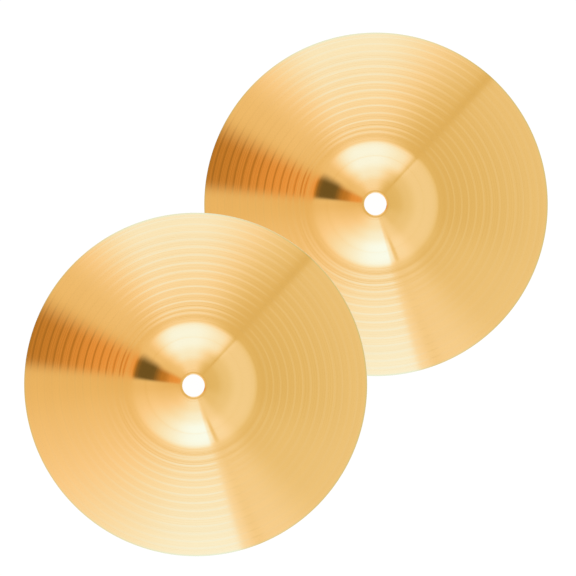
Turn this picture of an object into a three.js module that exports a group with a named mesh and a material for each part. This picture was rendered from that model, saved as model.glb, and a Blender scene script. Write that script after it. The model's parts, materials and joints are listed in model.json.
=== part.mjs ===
// A pair of 200 mm hand cymbals in spun brass, lying bell upwards on a table.
// The rear cymbal lies flat on its rim. The front cymbal leans on it: its rim touches the table
// at the near side and rests on the rear cymbal's bow at the far side.
// Units are millimetres. +Z is up, and the origin is on the table below the middle of the pair.

import * as THREE from "three";

const { degToRad, lerp } = THREE.MathUtils;

// Driving dimensions.
const DIAMETER = 200;
const THICKNESS = 1;
const HOLE_DIAMETER = 13;
const SEAT_DIAMETER = 15.2; // flat ring round the hole
const CROWN_DIAMETER = 28; // flatter top of the bell
const CROWN_INNER_SLOPE = degToRad(3.4);
const CROWN_EDGE_SLOPE = degToRad(7.5);
const SHOULDER_DIAMETER = 57; // where the bell is steepest
const SHOULDER_SLOPE = degToRad(30);
const FOOT_SLOPE = degToRad(20); // the bell flares a little before it meets the bow
const BELL_DIAMETER = 72.4; // the middle of the crease
const CREASE_RADIUS = 8.3; // hollow fillet between the bell's foot and the bow
const BOW_INNER_SLOPE = degToRad(4);
const BOW_RIM_SLOPE = degToRad(14.5);
const REST_WIDTH = 0.8; // flat ring under the rim, which the cymbal lies on
const EDGE_BREAK = 0.15; // chamfer that takes off the sharp edges

// How the pair lies.
const CENTRE_DISTANCE = 148.3;
const PAIR_DIRECTION = degToRad(45); // from the front cymbal towards the rear one
const CONTACT_GAP = 0.3; // clearance left where the front rim rests on the rear bow

// How finely the round surfaces are divided.
const SEGMENTS = 72;
const CROWN_STEPS = 1;
const BELL_STEPS = 4;
const FLARE_STEPS = 2;
const CREASE_STEPS = 2;
const BOW_STEPS = 4;

const BRASS = { color: 0xf9c16e, roughness: 0.24, metalness: 1 };

// The top surface is a chain of arcs from the seat to the rim, each tangent to the next. Where it
// falls outwards at a slope s its normal is (sin s, cos s), and every arc is centre + radius *
// normal. A hollow arc has a negative radius, so the underside is the same arcs with the
// thickness taken off each radius.
const normal = (slope) => new THREE.Vector2(Math.sin(slope), Math.cos(slope));

// The arc that leaves a point at one slope and reaches a radius from the axis at another.
function tangentArc(start, from, to, endRadius, steps) {
  const radius = (endRadius - start.x) / (Math.sin(to) - Math.sin(from));
  const centre = normal(from).multiplyScalar(-radius).add(start);
  return { centre, radius, from, to, steps };
}

function arcEnd(arc) {
  return normal(arc.to).multiplyScalar(arc.radius).add(arc.centre);
}

const creaseHalfWidth = (CREASE_RADIUS / 2) * (Math.sin(FOOT_SLOPE) - Math.sin(BOW_INNER_SLOPE));
const creaseStart = BELL_DIAMETER / 2 - creaseHalfWidth;
const creaseEnd = BELL_DIAMETER / 2 + creaseHalfWidth;
const seatEdge = new THREE.Vector2(SEAT_DIAMETER / 2, 0);
const crown = tangentArc(seatEdge, CROWN_INNER_SLOPE, CROWN_EDGE_SLOPE, CROWN_DIAMETER / 2, CROWN_STEPS);
const bell = tangentArc(arcEnd(crown), CROWN_EDGE_SLOPE, SHOULDER_SLOPE, SHOULDER_DIAMETER / 2, BELL_STEPS);
const flare = tangentArc(arcEnd(bell), SHOULDER_SLOPE, FOOT_SLOPE, creaseStart, FLARE_STEPS);
const crease = tangentArc(arcEnd(flare), FOOT_SLOPE, BOW_INNER_SLOPE, creaseEnd, CREASE_STEPS);
const bow = tangentArc(arcEnd(crease), BOW_INNER_SLOPE, BOW_RIM_SLOPE, DIAMETER / 2, BOW_STEPS);

// The underside of the bow ends where the flat ring under the rim begins. That ring is height 0.
const restInnerRadius = DIAMETER / 2 - EDGE_BREAK - REST_WIDTH;
const restOuterRadius = DIAMETER / 2 - EDGE_BREAK;
const restSlope = Math.asin((restInnerRadius - bow.centre.x) / (bow.radius - THICKNESS));
const restLevel = bow.centre.y + (bow.radius - THICKNESS) * Math.cos(restSlope);

// Points along an arc at a depth below the top surface, without the first one, which is the last
// point of the arc before it.
function arcPoints({ centre, radius, from, to, steps }, depth) {
  return Array.from({ length: steps }, (_, i) =>
    normal(lerp(from, to, (i + 1) / steps))
      .multiplyScalar(radius - depth)
      .add(centre),
  );
}

// Half the section at a depth below the top surface, from the seat out to the given slope.
function skin(depth, lastSlope) {
  const arcs = [crown, bell, flare, crease, { ...bow, to: lastSlope }];
  return [
    new THREE.Vector2(SEAT_DIAMETER / 2, -depth),
    ...arcs.flatMap((arc) => arcPoints(arc, depth)),
  ];
}

// The wall of the hole, from one level to another, with both edges broken.
function holeWall(top, bottom) {
  const radius = HOLE_DIAMETER / 2;
  return [
    new THREE.Vector2(radius + EDGE_BREAK, bottom),
    new THREE.Vector2(radius, bottom + EDGE_BREAK),
    new THREE.Vector2(radius, top - EDGE_BREAK),
    new THREE.Vector2(radius + EDGE_BREAK, top),
  ];
}

// The outer edge, down from the end of the top surface to the flat ring under the rim.
function rimEdge(topLevel) {
  return [
    new THREE.Vector2(DIAMETER / 2, topLevel - EDGE_BREAK),
    new THREE.Vector2(DIAMETER / 2, restLevel + EDGE_BREAK),
    new THREE.Vector2(restOuterRadius, restLevel),
  ];
}

// Where the bow's top surface is at a radius, above the flat ring under the rim.
function bowHeight(radius) {
  const across = radius - bow.centre.x;
  return bow.centre.y + Math.sqrt(bow.radius ** 2 - across ** 2) - restLevel;
}

// One cymbal with its axis on Z and its rim on Z = 0.
function cymbalGeometry() {
  const topEndSlope = Math.asin((restOuterRadius - bow.centre.x) / bow.radius);
  const top = skin(0, topEndSlope);
  const section = [
    ...holeWall(0, -THICKNESS),
    ...top,
    ...rimEdge(top.at(-1).y),
    ...skin(THICKNESS, restSlope).reverse(),
  ];
  section.push(section[0].clone());
  const geometry = new THREE.LatheGeometry(section.reverse(), SEGMENTS);
  return geometry.rotateX(Math.PI / 2).translate(0, 0, -restLevel);
}

function cymbal(name) {
  const mesh = new THREE.Mesh(cymbalGeometry(), new THREE.MeshStandardMaterial(BRASS));
  mesh.name = name;
  return mesh;
}

// The angle at which a cymbal leans when its rim lies on the table at one side and on the other
// cymbal's bow at the opposite side.
function leanAngle() {
  const contactRadius = CENTRE_DISTANCE - restOuterRadius;
  return Math.asin((bowHeight(contactRadius) + CONTACT_GAP) / (2 * restOuterRadius));
}

const rear = cymbal("rear_cymbal");
rear.position.set(CENTRE_DISTANCE / 2, 0, 0);

const front = cymbal("front_cymbal");
front.position.set(-CENTRE_DISTANCE / 2, 0, restOuterRadius * Math.sin(leanAngle()));
front.rotation.y = -leanAngle();

const pair = new THREE.Group();
pair.add(rear, front);
pair.rotation.z = PAIR_DIRECTION;
pair.updateMatrixWorld(true);
const middle = new THREE.Box3().setFromObject(pair, true).getCenter(new THREE.Vector3());
pair.position.set(-middle.x, -middle.y, 0);

const handCymbals = new THREE.Group();
handCymbals.add(pair);

export default handCymbals;
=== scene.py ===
"""The looks of a pair of spun brass hand cymbals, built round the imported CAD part. All in metres.

Each cymbal is one closed mesh, turned from the same section as its CAD solid but much finer, with
the spiral tool groove cut into the bow. The brass and the studio round it are procedural.
"""

import json
import math

import bpy
import numpy as np
from mathutils import Matrix, Vector


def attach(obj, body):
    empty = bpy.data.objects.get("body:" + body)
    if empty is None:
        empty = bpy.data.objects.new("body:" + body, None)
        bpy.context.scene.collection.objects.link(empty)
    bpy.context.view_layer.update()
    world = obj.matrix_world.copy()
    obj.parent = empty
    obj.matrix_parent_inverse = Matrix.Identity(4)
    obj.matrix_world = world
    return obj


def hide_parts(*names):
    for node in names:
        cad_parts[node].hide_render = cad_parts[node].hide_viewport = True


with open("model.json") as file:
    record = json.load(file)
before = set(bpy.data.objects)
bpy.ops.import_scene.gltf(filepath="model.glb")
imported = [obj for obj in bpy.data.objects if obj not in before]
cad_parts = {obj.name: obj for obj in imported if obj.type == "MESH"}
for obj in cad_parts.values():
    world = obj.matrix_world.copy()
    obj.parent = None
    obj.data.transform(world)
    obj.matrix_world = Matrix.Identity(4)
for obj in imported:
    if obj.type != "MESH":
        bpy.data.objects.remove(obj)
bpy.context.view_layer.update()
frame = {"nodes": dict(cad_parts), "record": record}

MM = 0.001

# The section of a plate, as in the CAD.
DIAMETER = 200 * MM
THICKNESS = 1 * MM
HOLE_DIAMETER = 13 * MM
SEAT_DIAMETER = 15.2 * MM
CROWN_DIAMETER = 28 * MM
CROWN_INNER_SLOPE = math.radians(3.4)
CROWN_EDGE_SLOPE = math.radians(7.5)
SHOULDER_DIAMETER = 57 * MM
SHOULDER_SLOPE = math.radians(30)
FOOT_SLOPE = math.radians(20)
BELL_DIAMETER = 72.4 * MM
CREASE_RADIUS = 8.3 * MM
BOW_INNER_SLOPE = math.radians(4)
BOW_RIM_SLOPE = math.radians(14.5)
REST_WIDTH = 0.8 * MM
HOLE_ROUNDING = 0.2 * MM
RIM_ROUNDING = 0.06 * MM

# How finely a plate is divided.
COLUMNS = 300
TOP_STEPS = {"crown": 10, "bell": 28, "flare": 10, "crease": 8, "bow": 212}
UNDERSIDE_STEPS = {"crown": 4, "bell": 10, "flare": 4, "crease": 4, "bow": 20}
EDGE_STEPS = 3
RIM_GUARD = 0.9  # one more row close to the rim, so that the rim's rounding doesn't shade the bow

# The spiral tool groove starts at a ring round the bell, and each turn is one feed further out.
# The feed is widest in the middle of the bow. Going outwards, the ring and each turn are a slow
# rise and then a step down, one tool wide.
RING_RADIUS = 42.1 * MM
RING_DEPTH = 0.06 * MM
RING_RISE = 3.5 * MM  # how far inside the ring the rise begins
GROOVE_START = 42.2 * MM
GROOVE_END = 98.5 * MM
GROOVE_TURNS = 14
FEED_INNER = 3.75 * MM
FEED_SWELL = 0.85 * MM
GROOVE_WIDTH = 1.3 * MM
GROOVE_DEPTH = 0.1 * MM
SPIRAL_SAMPLES = 400  # how finely the spiral's reach is worked out


# ---------------------------------------------------------------------------------------------
# The plate


def normal(slope):
    """The section's outward normal where the top surface falls outwards at this slope."""
    return np.array([math.sin(slope), math.cos(slope)])


def tangent_arc(start, start_slope, end_radius, end_slope):
    """The arc that leaves a point at one slope and reaches a radius at another: its centre and
    its own radius, which is negative where the surface is hollow."""
    bend = (end_radius - start[0]) / (math.sin(end_slope) - math.sin(start_slope))
    return start - bend * normal(start_slope), bend


def arc_chain():
    """The arcs of the top surface from the seat to the rim, by name. Each is its centre, its
    radius, and its slopes at the inner and the outer end."""
    crease_half = CREASE_RADIUS / 2 * (math.sin(FOOT_SLOPE) - math.sin(BOW_INNER_SLOPE))
    spans = {
        "crown": (CROWN_INNER_SLOPE, CROWN_DIAMETER / 2, CROWN_EDGE_SLOPE),
        "bell": (CROWN_EDGE_SLOPE, SHOULDER_DIAMETER / 2, SHOULDER_SLOPE),
        "flare": (SHOULDER_SLOPE, BELL_DIAMETER / 2 - crease_half, FOOT_SLOPE),
        "crease": (FOOT_SLOPE, BELL_DIAMETER / 2 + crease_half, BOW_INNER_SLOPE),
        "bow": (BOW_INNER_SLOPE, DIAMETER / 2, BOW_RIM_SLOPE),
    }
    start = np.array([SEAT_DIAMETER / 2, 0.0])
    chain = {}
    for name, (start_slope, end_radius, end_slope) in spans.items():
        centre, bend = tangent_arc(start, start_slope, end_radius, end_slope)
        chain[name] = (centre, bend, start_slope, end_slope)
        start = centre + bend * normal(end_slope)
    return chain


def skin(depth, steps, last_radius):
    """Points from the seat out to last_radius, at a depth below the top surface."""
    points = [np.array([SEAT_DIAMETER / 2, -depth])]
    for name, (centre, radius, start, end) in arc_chain().items():
        reach = radius - depth
        if name == "bow":
            end = math.asin((last_radius - centre[0]) / reach)
        for step in range(1, steps[name] + 1):
            points.append(centre + reach * normal(start + (end - start) * step / steps[name]))
    return points


def rounding(centre, size, start, end):
    """Points on an edge's rounding, from one direction to another in degrees from outwards."""
    angles = np.radians(np.linspace(start, end, EDGE_STEPS + 1))
    return [centre + size * np.array([math.cos(a), math.sin(a)]) for a in angles]


def section():
    """The closed outline of a plate as rows of radius and height, starting at the hole's lower
    edge, and which of the rows are on the top surface."""
    hole = HOLE_DIAMETER / 2 + HOLE_ROUNDING
    rim = DIAMETER / 2 - RIM_ROUNDING
    top = skin(0, TOP_STEPS, rim)
    under = skin(THICKNESS, UNDERSIDE_STEPS, rim - REST_WIDTH)
    rest_level = under[-1][1]
    outline = rounding(np.array([hole, HOLE_ROUNDING - THICKNESS]), HOLE_ROUNDING, 270, 180)
    outline += rounding(np.array([hole, -HOLE_ROUNDING]), HOLE_ROUNDING, 180, 90)
    first_top = len(outline)
    outline += top[:-1]
    outline.append(top[-2] + (top[-1] - top[-2]) * RIM_GUARD)
    end_top = len(outline)
    rim_centre = top[-1] - RIM_ROUNDING * normal(BOW_RIM_SLOPE)
    outline += rounding(rim_centre, RIM_ROUNDING, 90 - math.degrees(BOW_RIM_SLOPE), 0)
    outline += rounding(np.array([rim, rest_level + RIM_ROUNDING]), RIM_ROUNDING, 0, -90)
    outline += under[::-1]
    rows = np.array(outline)
    rows[:, 1] -= rest_level
    top_rows = np.zeros(len(rows), bool)
    top_rows[first_top:end_top] = True
    return rows, top_rows


def ease(value):
    """A smooth step from 0 to 1."""
    value = np.clip(value, 0, 1)
    return value * value * (3 - 2 * value)


def groove_turn(radius, angle):
    """How many turns of the spiral lie inside a point, less the nearest whole number."""
    turns = np.linspace(0, GROOVE_TURNS, SPIRAL_SAMPLES)
    swell = GROOVE_TURNS / math.pi * (1 - np.cos(math.pi * turns / GROOVE_TURNS))
    reach = GROOVE_START + FEED_INNER * turns + FEED_SWELL * swell
    turn = np.interp(radius, reach, turns) + angle / (2 * math.pi)
    return turn - np.round(turn)


def groove_relief(radius, angle):
    """How far the tool grooves move the top surface, up or down, and how deep in one a point is."""
    phase = groove_turn(radius, angle)
    across = phase * (FEED_INNER + FEED_SWELL) / GROOVE_WIDTH
    fade = ease((radius - GROOVE_START) / GROOVE_WIDTH) * ease((GROOVE_END - radius) / GROOVE_WIDTH)
    relief = GROOVE_DEPTH * (phase + 0.5 - ease(across + 0.5)) * fade
    depth = ease(1 - 2 * np.abs(across)) * fade
    ring_across = (radius - RING_RADIUS) / GROOVE_WIDTH
    ring_rise = ease(1 + (radius - RING_RADIUS) / RING_RISE)
    relief += RING_DEPTH * ring_rise * ease(0.5 - ring_across)
    return relief, np.maximum(depth, ease(1 - 2 * np.abs(ring_across)))


# CAD points that agree to so many digits of a metre are one point.
SAME_POINT_DIGITS = 6


def placement(node):
    """The plate's own frame in the row frame: its axis, and the middle of its rim's plane."""
    mounts = {m["name"]: m for m in frame["record"]["mounts"]}
    axis = Vector(mounts[node.replace("cymbal", "bell_seat")]["axis"]).normalized()
    vertices = frame["nodes"][node].data.vertices
    points = np.unique([v.co.to_tuple(SAME_POINT_DIGITS) for v in vertices], axis=0)
    heights = points @ np.array(axis)
    centre = Vector(points.mean(axis=0)) - axis * float(heights.mean() - heights.min())
    across = (Vector((1, 0, 0)) - axis * axis.x).normalized()
    matrix = Matrix((across, axis.cross(across), axis)).transposed().to_4x4()
    matrix.translation = centre
    return matrix


def plate_mesh(name, matrix):
    """One cymbal as a closed mesh in the row frame. It keeps each point's place and normal in
    the plate's own frame as attributes, which the brass reads."""
    rows, top_rows = section()
    angles = np.linspace(-math.pi, math.pi, COLUMNS, endpoint=False)
    radius, angle = np.meshgrid(rows[:, 0], angles, indexing="ij")
    height = np.repeat(rows[:, 1:], COLUMNS, axis=1)
    depth = np.zeros_like(height)
    relief, depth[top_rows] = groove_relief(radius[top_rows], angle[top_rows])
    height[top_rows] += relief
    points = np.stack([radius * np.cos(angle), radius * np.sin(angle), height], axis=-1)
    grid = np.arange(points.shape[0] * COLUMNS).reshape(-1, COLUMNS)
    below, beside = np.roll(grid, -1, axis=0), np.roll(grid, -1, axis=1)
    corners = np.stack([grid, below, np.roll(below, -1, axis=1), beside], axis=-1)
    mesh = bpy.data.meshes.new(name)
    mesh.from_pydata(points.reshape(-1, 3), [], corners.reshape(-1, 4).tolist())
    mesh.polygons.foreach_set("use_smooth", np.ones(len(mesh.polygons), bool))
    own_normals = np.zeros(len(mesh.vertices) * 3, np.float32)
    mesh.vertex_normals.foreach_get("vector", own_normals)
    for key, values in (("plate_position", points), ("plate_normal", own_normals)):
        attribute = mesh.attributes.new(key, "FLOAT_VECTOR", "POINT")
        attribute.data.foreach_set("vector", np.ravel(values).astype(np.float32))
    mesh.attributes.new("groove_depth", "FLOAT", "POINT").data.foreach_set("value", np.ravel(depth))
    mesh.transform(matrix)
    mesh.update()
    return mesh


def add_cymbal(node, material):
    """The visible plate of one CAD node. In the photo the plates don't mirror one another."""
    name = node.replace("cymbal", "plate")
    plate = bpy.data.objects.new(name, plate_mesh(name, placement(node)))
    bpy.context.scene.collection.objects.link(plate)
    plate.data.materials.append(material)
    plate.visible_glossy = False
    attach(plate, node)
    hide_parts(node)


# ---------------------------------------------------------------------------------------------
# Materials


class Nodes:
    """Short calls to add and join shader nodes in one tree."""

    def __init__(self, tree):
        self.tree = tree
        tree.nodes.clear()

    def add(self, kind, inputs=None, **settings):
        node = self.tree.nodes.new("ShaderNode" + kind)
        for key, value in settings.items():
            setattr(node, key, value)
        for key, value in (inputs or {}).items():
            if isinstance(value, bpy.types.NodeSocket):
                self.tree.links.new(value, node.inputs[key])
            else:
                node.inputs[key].default_value = value
        return node

    def attribute(self, name, output):
        return self.add("Attribute", attribute_name=name).outputs[output]

    def math(self, operation, *values):
        return self.add("Math", dict(enumerate(values)), operation=operation).outputs[0]

    def vector(self, operation, first, second=None, scale=None):
        inputs = {0: first}
        if second is not None:
            inputs[1] = second
        if scale is not None:
            inputs["Scale"] = scale
        node = self.add("VectorMath", inputs, operation=operation)
        return node.outputs["Value" if operation == "LENGTH" else "Vector"]

    def ease(self, value, low, high, to_low=0.0, to_high=1.0):
        """A smooth change from one number to another as value goes from low to high."""
        inputs = {"Value": value, "From Min": low, "From Max": high,
                  "To Min": to_low, "To Max": to_high}
        return self.add("MapRange", inputs, interpolation_type="SMOOTHSTEP").outputs[0]

    def mix_numbers(self, share, first, second):
        """A number between two others."""
        inputs = {0: share, 2: first, 3: second}
        return self.add("Mix", inputs, data_type="FLOAT").outputs[0]

    def mix_colours(self, share, first, second):
        """A colour between two others. Each is an output, or three numbers."""
        inputs = {0: share}
        for index, colour in ((6, first), (7, second)):
            is_output = isinstance(colour, bpy.types.NodeSocket)
            inputs[index] = colour if is_output else (*colour, 1)
        return self.add("Mix", inputs, data_type="RGBA").outputs[2]


# The brass changes a little in tone from band to band, and its sheared edge is a little greener.
BRASS_COLOUR = (0.95, 0.55, 0.17)
BRASS_ROUGHNESS = 0.07
BAND_SHADE = 0.96  # how bright the darkest band is, as a share of the brass colour
BANDS_PER_METRE = 90.0
BAND_DETAIL = 2.0
# Painted shade: the brass deep in the tool grooves gets a darker colour, so the grooves read as
# shaded lines.
GROOVE_SHADE_COLOUR = (0.90, 0.52, 0.16)
RIM_COLOUR = (0.79, 0.55, 0.19)
RIM_TINT_START = 98.8 * MM
RIM_TINT_END = 99.7 * MM

# The fine lathe marks tip the normal less on the bell than on the bow.
LATHE_MARK = 0.35 * MM
MARK_DETAIL = 4.0
MARK_ROUGHNESS = 0.8
MARK_TILT_BELL = 0.2
MARK_TILT_BOW = 0.35
BELL_MARKS_END = 35.5 * MM
BOW_MARKS_START = 36.5 * MM


def marked_normal(nodes, outwards, radius):
    """The plate's normal, tipped by the lathe marks inwards and outwards only, as turning does."""
    noise = {
        "W": radius,
        "Scale": 1 / LATHE_MARK,
        "Detail": MARK_DETAIL,
        "Roughness": MARK_ROUGHNESS,
    }
    marks = nodes.add("TexNoise", noise, noise_dimensions="1D").outputs["Fac"]
    tilt = nodes.ease(radius, BELL_MARKS_END, BOW_MARKS_START, MARK_TILT_BELL, MARK_TILT_BOW)
    swing = nodes.math("MULTIPLY", nodes.math("SUBTRACT", marks, 0.5), tilt)
    shift = nodes.vector("SCALE", outwards, scale=swing)
    own_normal = nodes.attribute("plate_normal", "Vector")
    return nodes.vector("NORMALIZE", nodes.vector("ADD", own_normal, shift))


def brass_colour(nodes, radius):
    """The colour of the brass, with painted shade that makes it a little darker in the grooves."""
    noise = {"W": radius, "Scale": BANDS_PER_METRE, "Detail": BAND_DETAIL}
    band = nodes.add("TexNoise", noise, noise_dimensions="1D").outputs["Fac"]
    shaded = tuple(BAND_SHADE * part for part in BRASS_COLOUR)
    banded = nodes.mix_colours(band, BRASS_COLOUR, shaded)
    # Painted shade: the colour goes darker where a point lies deep in a groove.
    groove_shaded = nodes.mix_colours(nodes.attribute("groove_depth", "Fac"), banded, GROOVE_SHADE_COLOUR)
    return nodes.mix_colours(nodes.ease(radius, RIM_TINT_START, RIM_TINT_END), groove_shaded, RIM_COLOUR)


def brass_material():
    material = bpy.data.materials.new("lathed_brass")
    material.use_nodes = True
    nodes = Nodes(material.node_tree)
    across = nodes.vector("MULTIPLY", nodes.attribute("plate_position", "Vector"), (1, 1, 0))
    radius = nodes.vector("LENGTH", across)
    outwards = nodes.vector("NORMALIZE", across)
    shade = nodes.add("BsdfPrincipled", {
        "Base Color": brass_colour(nodes, radius),
        "Metallic": 1.0,
        "Roughness": BRASS_ROUGHNESS,
        "Normal": marked_normal(nodes, outwards, radius),
    })
    nodes.add("OutputMaterial", {"Surface": shade.outputs[0]})
    return material


FLOOR_SIZE = 12
FLOOR_DROP = 0.1 * MM  # how far below the plates it lies
FLOOR_COLOUR = (0.05, 0.05, 0.05, 1)
FLOOR_GLOW = 0.98


def floor_material():
    """A pale sheet, lit from inside so that it stays near white under the plates."""
    material = bpy.data.materials.new("pale_floor")
    material.use_nodes = True
    nodes = Nodes(material.node_tree)
    shade = nodes.add("BsdfPrincipled", {
        "Base Color": FLOOR_COLOUR,
        "Roughness": 1.0,
        "Specular IOR Level": 0.0,
        "Emission Color": (1, 1, 1, 1),
        "Emission Strength": FLOOR_GLOW,
    })
    nodes.add("OutputMaterial", {"Surface": shade.outputs[0]})
    return material


# ---------------------------------------------------------------------------------------------
# Studio and camera

# The camera looks almost straight down on the pair, from far off.
LENS = 1600.0
SENSOR = 36.0
VIEW_WIDTH = 335.2 * MM
AIM = Vector((1.25, 3.7, 3)) * MM
LEAN_RIGHT = math.radians(1.3)
LEAN_BACK = math.radians(-0.4)
LOOK_FROM = Vector((math.tan(LEAN_RIGHT), math.tan(LEAN_BACK), 1)).normalized()
CLIP_START = 0.1
CLIP_END = 100.0

# The studio's brightness is given at rings, this many degrees off the zenith.
RINGS = (10.0, 28.0, 50.0)
ZENITH = 0.75
SURROUND = (0.82, 0.84, 0.87)

# Lower down than the bells mirror from above, the panels fade and the walls are nearly even.
LOW_START = 59.0
LOW_FULL = 68.0
LOW_LEVEL = 0.42
LOW_SHARE = 0.22  # how much of the panels' brightness is left there

# The panels of light that stand round the plates, each laid over the ones before it. A panel runs
# between two azimuths, in degrees anticlockwise from +X, and each edge fades over so many degrees
# on both sides of it: start, its fade, end, its fade, and the brightness at each of the rings.
PANELS = {
    "right wall": (-92, 10, 47.2, 0.9, (0.93, 1.01, 1.11)),
    "far right wall": (-18, 14, 47.2, 0.9, (0.84, 0.98, 1.10)),
    "front spill": (-102, 10, -52, 9, (1.08, 1.13, 1.24)),
    "left spill": (-172, 8, -140, 20, (0.87, 0.89, 0.92)),
    "front softbox": (-131, 50, -73.5, 2.2, (1.36, 1.58, 1.79)),
    "front lip": (-74.5, 1.5, -71, 1.5, (1.12, 1.21, 1.50)),
    "front slit": (-70, 1.5, -66.5, 1.5, (1.06, 1.07, 0.95)),
    "back spill": (107, 10, 148, 5, (0.92, 0.90, 0.93)),
    "back wing": (50, 10, 128, 14, (0.76, 0.93, 1.36)),
    "back softbox": (69, 22, 126, 17, (1.20, 1.50, 1.68)),
    "back slit": (47.2, 0.9, 49.5, 3, (0.74, 0.71, 0.89)),
}

# A dark warm card stands at the left. Its edge towards the back slants a little, so the lowest
# ring has a span of its own.
CARD_SPAN = (153.3, 5.5, 173.9, 3)
CARD_LOW_SPAN = (151, 6, 173.9, 2.5)
CARD_COLOURS = ((0.88, 0.51, 0.22), (0.54, 0.32, 0.10), (0.17, 0.15, 0.08))

# The light is tinted as a print from film is: the red in it grows more slowly than the brightness
# and the blue in it faster, and there is a little more red on the left than on the right.
FILM_WHITE = 0.957  # the brightness that is printed about white
RED_SCALE = 0.92
RED_SIDE = 0.04
RED_POWER = 0.6
RED_MOST = 1.03
BLUE_POWER = 2.5


def span_share(nodes, azimuth, start, start_fade, end, end_fade):
    """1 inside a span of azimuths, 0 outside it, with soft edges."""
    rise = nodes.ease(azimuth, start - start_fade, start + start_fade)
    fall = nodes.ease(azimuth, end - end_fade, end + end_fade, 1.0, 0.0)
    return nodes.math("MULTIPLY", rise, fall)


def ring_blend(nodes, down, blend, rings):
    """What lies between the values of the rings, at an angle off the zenith."""
    value = rings[0]
    for above, below, ring in zip(RINGS, RINGS[1:], rings[1:]):
        value = blend(nodes.ease(down, above, below), value, ring)
    return value


def panel_brightness(nodes, azimuth, down):
    """How bright the walls and panels are."""
    rings = list(SURROUND)
    for *span, levels in PANELS.values():
        share = span_share(nodes, azimuth, *span)
        rings = [nodes.mix_numbers(share, ring, level) for ring, level in zip(rings, levels)]
    walls = ring_blend(nodes, down, nodes.mix_numbers, rings)
    brightness = nodes.mix_numbers(nodes.ease(down, 0.0, RINGS[0]), ZENITH, walls)
    low = nodes.math("MULTIPLY_ADD", brightness, LOW_SHARE, LOW_LEVEL)
    return nodes.mix_numbers(nodes.ease(down, LOW_START, LOW_FULL), brightness, low)


def light_colour(nodes, brightness, azimuth):
    """The colour of the light at this brightness: warm where it is dim, cool where it is bright."""
    level = nodes.math("DIVIDE", brightness, FILM_WHITE)
    side = nodes.math("COSINE", nodes.math("RADIANS", azimuth))
    red_scale = nodes.math("SUBTRACT", RED_SCALE, nodes.math("MULTIPLY", side, RED_SIDE))
    red = nodes.math("MULTIPLY", nodes.math("POWER", level, RED_POWER), red_scale)
    red = nodes.math("MINIMUM", red, RED_MOST)
    blue = nodes.math("POWER", level, BLUE_POWER)
    return nodes.add("CombineColor", {0: red, 1: brightness, 2: blue}).outputs[0]


def card_share(nodes, azimuth, down):
    """1 where the card hides the light behind it, 0 where it doesn't."""
    spans = [span_share(nodes, azimuth, *span) for span in (CARD_SPAN, CARD_LOW_SPAN)]
    share = nodes.mix_numbers(nodes.ease(down, RINGS[1], RINGS[2]), *spans)
    return nodes.math("MULTIPLY", share, nodes.ease(down, 0.0, RINGS[0]))


def studio_angles(nodes):
    """Where a direction points, in degrees: its azimuth, and how far off the zenith it is. The
    studio leans with the camera, so that its panels' edges lie along the plates' radii."""
    direction = nodes.vector("NORMALIZE", nodes.add("TexCoord").outputs["Generated"])
    direction = nodes.vector("ADD", direction, (LOOK_FROM.x, LOOK_FROM.y, 0))
    parts = nodes.add("SeparateXYZ", {0: nodes.vector("NORMALIZE", direction)}).outputs
    azimuth = nodes.math("DEGREES", nodes.math("ARCTAN2", parts["Y"], parts["X"]))
    return azimuth, nodes.math("DEGREES", nodes.math("ARCCOSINE", parts["Z"]))


def make_world():
    """The studio as the brass mirrors it, and plain white for the camera and the floor."""
    world = bpy.data.worlds.new("studio")
    world.use_nodes = True
    bpy.context.scene.world = world
    nodes = Nodes(world.node_tree)
    azimuth, down = studio_angles(nodes)
    light = light_colour(nodes, panel_brightness(nodes, azimuth, down), azimuth)
    card = ring_blend(nodes, down, nodes.mix_colours, CARD_COLOURS)
    studio = nodes.mix_colours(card_share(nodes, azimuth, down), light, card)
    path = nodes.add("LightPath").outputs
    plain = nodes.math("MAXIMUM", path["Is Camera Ray"], path["Is Diffuse Ray"])
    shade = nodes.add("Background", {"Color": nodes.mix_colours(plain, studio, (1, 1, 1))})
    nodes.add("OutputWorld", {"Surface": shade.outputs[0]})


def add_floor():
    mesh = bpy.data.meshes.new("floor")
    half = FLOOR_SIZE / 2
    corners = [(-half, -half), (half, -half), (half, half), (-half, half)]
    mesh.from_pydata([(x, y, -FLOOR_DROP) for x, y in corners], [], [(0, 1, 2, 3)])
    mesh.materials.append(floor_material())
    floor = bpy.data.objects.new("floor", mesh)
    bpy.context.scene.collection.objects.link(floor)


def add_camera():
    data = bpy.data.cameras.new("camera")
    data.lens = LENS
    data.sensor_width = SENSOR
    camera = bpy.data.objects.new("camera", data)
    bpy.context.scene.collection.objects.link(camera)
    across = Vector((0, 1, 0)).cross(LOOK_FROM).normalized()
    matrix = Matrix((across, LOOK_FROM.cross(across), LOOK_FROM)).transposed().to_4x4()
    matrix.translation = AIM + LOOK_FROM * (VIEW_WIDTH * LENS / SENSOR)
    camera.matrix_world = matrix
    data.clip_start = CLIP_START
    data.clip_end = CLIP_END
    bpy.context.scene.camera = camera


bpy.context.scene.view_settings.view_transform = "Standard"
add_camera()
make_world()
add_floor()
brass = brass_material()
for node_name in ("rear_cymbal", "front_cymbal"):
    add_cymbal(node_name, brass)

bpy.context.view_layer.update()
